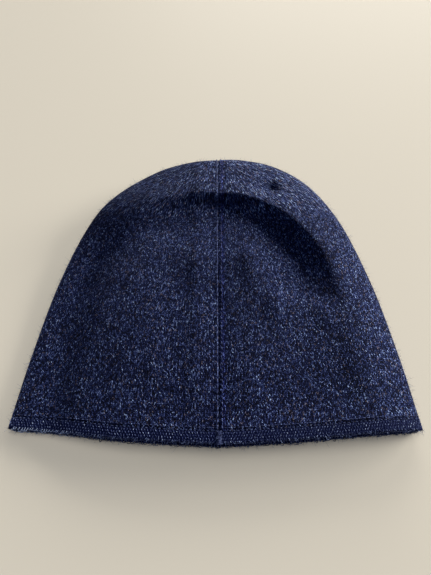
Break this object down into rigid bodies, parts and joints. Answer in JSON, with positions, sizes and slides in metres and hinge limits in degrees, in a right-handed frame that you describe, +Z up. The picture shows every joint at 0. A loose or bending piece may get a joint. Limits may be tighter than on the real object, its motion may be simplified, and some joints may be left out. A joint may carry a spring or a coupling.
{
  "type": "knit beanie",
  "caption": "Fine-gauge double-layer knit beanie lying flat, with a centre seam, a puffed crown rim and a narrow stitched hem band.",
  "frame": {"origin": "under the middle of the hat's box, on the surface that the hat lies on", "axes": "+X across the flat hat towards its right side, +Y from the hem to the crown, +Z up out of the upper face"},
  "size_m": [0.2458, 0.221, 0.025],
  "materials": {
    "shell_knit": "matte heathered fine-gauge knit, dark navy",
    "lining_knit": "matte plain knit, dark navy",
    "band_knit": "matte knitted band, dark navy",
    "seam_thread": "matte twisted thread, navy",
    "edge_thread": "matte fuzzy edge thread, pale blue"
  },
  "bodies": {
    "root": {"shell_left_half": "shell_knit", "shell_right_half": "shell_knit", "lining_left_half": "lining_knit", "lining_right_half": "lining_knit", "hem_band_left": "band_knit", "hem_band_right": "band_knit", "centre_seam_thread": "seam_thread", "lining_seam_thread": "seam_thread", "hem_stitch_row": "seam_thread", "lining_hem_stitch_row": "seam_thread", "hem_overlock_thread": "edge_thread", "band_tack_upper": "seam_thread", "band_tack_under": "seam_thread"}
  },
  "joints": []
}
